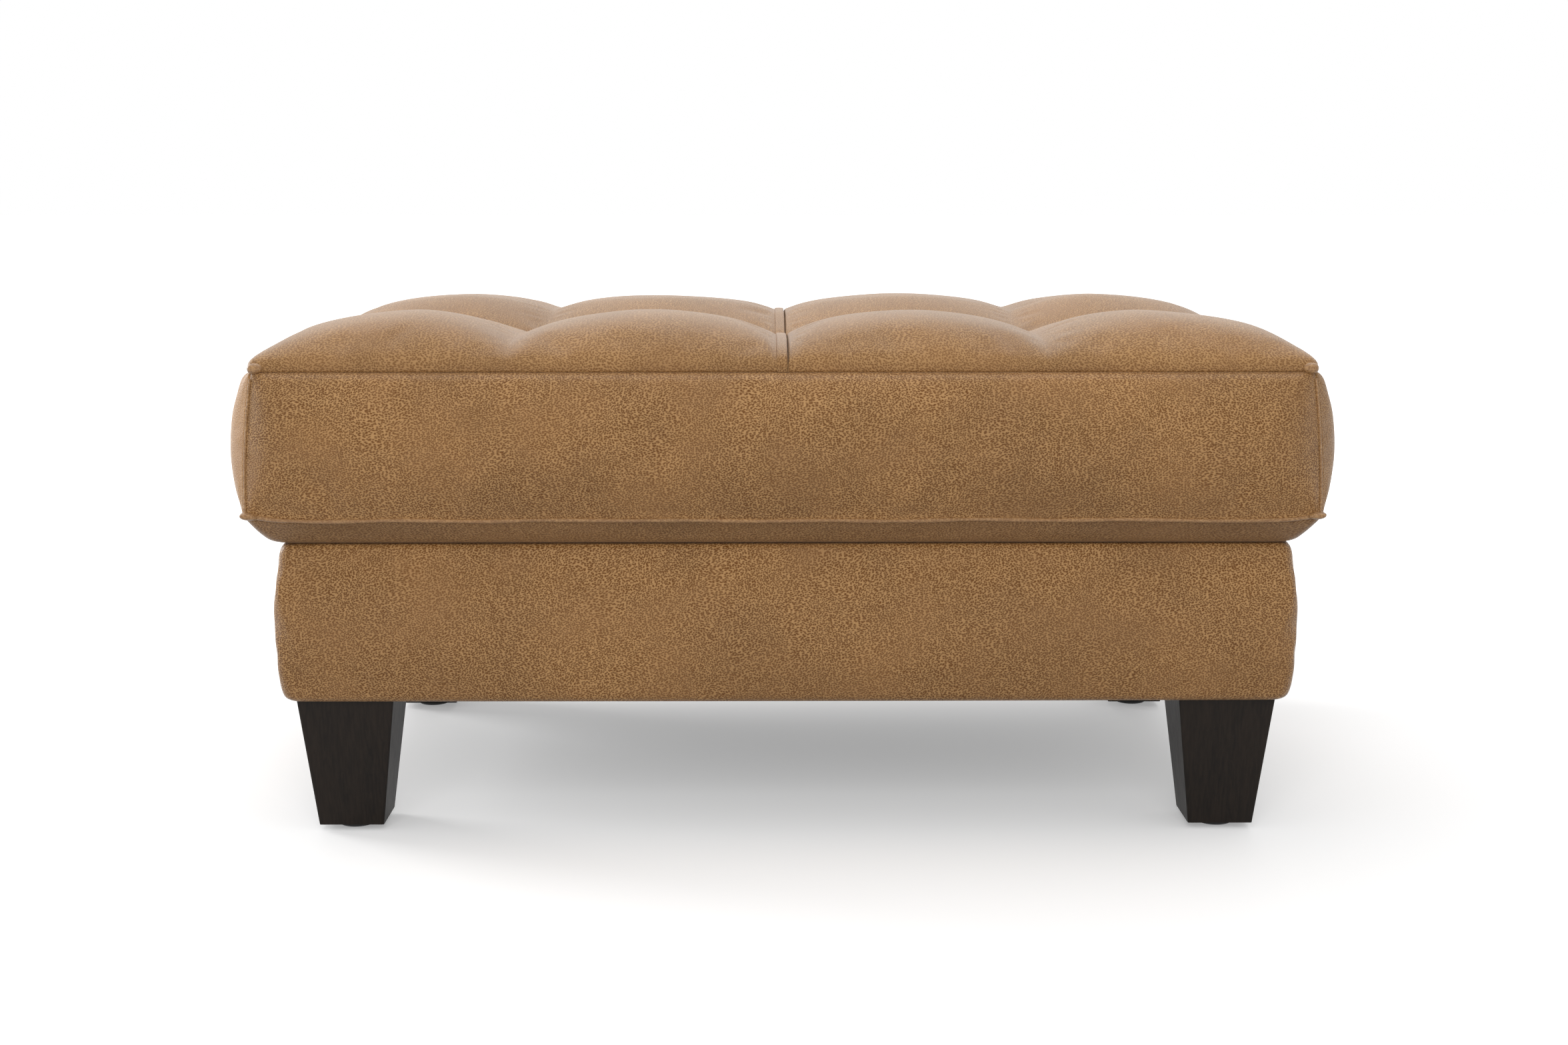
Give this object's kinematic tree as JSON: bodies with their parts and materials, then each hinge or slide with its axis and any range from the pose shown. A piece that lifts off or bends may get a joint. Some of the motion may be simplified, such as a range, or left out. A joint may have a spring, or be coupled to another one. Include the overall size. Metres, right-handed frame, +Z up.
{
  "type": "storage ottoman",
  "caption": "Wide padded leather storage ottoman with a tufted hinged lid on gas struts, a padded box base and tapered square legs.",
  "frame": {"origin": "on the floor, under the middle of the ottoman", "axes": "+X to the right along the long side, +Y to the back where the hinges are, +Z up"},
  "size_m": [1.0614, 0.7134, 0.505],
  "materials": {
    "leather": "matte",
    "plywood": "matte",
    "dark_wood": "satin",
    "foam": "matte",
    "lining": "matte",
    "dust_cloth": "matte",
    "zinc_steel": "satin",
    "black_steel": "satin",
    "chrome_rod": "polished",
    "black_plastic": "satin",
    "rubber": "matte",
    "twine": "matte"
  },
  "bodies": {
    "base": {"front_panel": "plywood", "back_panel": "plywood", "left_panel": "plywood", "right_panel": "plywood", "storage_floor": "plywood", "pad_front": "foam", "pad_back": "foam", "pad_left": "foam", "pad_right": "foam", "base_cover_wrap": "leather", "base_cover_back": "leather", "well_lining": "lining", "dust_cover": "dust_cloth", "leg_front_left": "dark_wood", "leg_front_right": "dark_wood", "leg_back_left": "dark_wood", "leg_back_right": "dark_wood", "frame_screws": "zinc_steel", "hanger_bolts": "zinc_steel", "tee_nuts": "zinc_steel", "glide_nails": "zinc_steel", "hinge_base_leaves": "zinc_steel", "hinge_pins": "zinc_steel", "hinge_base_screws": "zinc_steel", "strut_base_screws": "zinc_steel", "strut_base_brackets": "black_steel", "glides": "black_plastic", "rim_bumpers": "rubber"},
    "lid": {"lid_board": "plywood", "foam_core": "foam", "top_cover_left": "leather", "top_cover_right": "leather", "centre_seam_strip": "leather", "boxing_front": "leather", "boxing_back": "leather", "boxing_left": "leather", "boxing_right": "leather", "lower_band": "leather", "lower_welt": "leather", "lid_lining": "lining", "hinge_lid_leaves": "zinc_steel", "hinge_lid_screws": "zinc_steel", "strut_lid_screws": "zinc_steel", "tuft_washers": "zinc_steel", "strut_lid_brackets": "black_steel", "tuft_twines": "twine"},
    "strut_cylinder_left_body": {"strut_cylinder_left": "black_steel", "strut_base_eye_left": "black_plastic"},
    "strut_cylinder_right_body": {"strut_cylinder_right": "black_steel", "strut_base_eye_right": "black_plastic"},
    "strut_rod_left_body": {"strut_rod_left": "chrome_rod", "strut_lid_eye_left": "black_plastic"},
    "strut_rod_right_body": {"strut_rod_right": "chrome_rod", "strut_lid_eye_right": "black_plastic"}
  },
  "joints": [
    {"name": "lid_hinge", "type": "hinge", "parent": "base", "child": "lid", "pos_m": [0, 0.3115, 0.2913], "axis": [-1, 0, 0], "range_deg": [0, 70]},
    {"name": "strut_left_base_pivot", "type": "hinge", "parent": "base", "child": "strut_cylinder_left_body", "pos_m": [-0.442, 0.2725, 0.167], "axis": [-1, 0, 0], "range_deg": [0, 35.01]},
    {"name": "strut_left_lid_pivot", "type": "hinge", "parent": "lid", "child": "strut_rod_left_body", "pos_m": [-0.442, 0.18209, 0.2763], "axis": [-1, 0, 0], "range_deg": [-35.01, 0]},
    {"name": "strut_right_base_pivot", "type": "hinge", "parent": "base", "child": "strut_cylinder_right_body", "pos_m": [0.442, 0.2725, 0.167], "axis": [-1, 0, 0], "range_deg": [0, 35.01]},
    {"name": "strut_right_lid_pivot", "type": "hinge", "parent": "lid", "child": "strut_rod_right_body", "pos_m": [0.442, 0.18209, 0.2763], "axis": [-1, 0, 0], "range_deg": [-35.01, 0]}
  ],
  "couplings": [
    {"joint": "strut_left_base_pivot", "follows": "lid_hinge", "ratio": 0.5},
    {"joint": "strut_left_lid_pivot", "follows": "lid_hinge", "ratio": -0.5},
    {"joint": "strut_right_base_pivot", "follows": "lid_hinge", "ratio": 0.5},
    {"joint": "strut_right_lid_pivot", "follows": "lid_hinge", "ratio": -0.5}
  ]
}
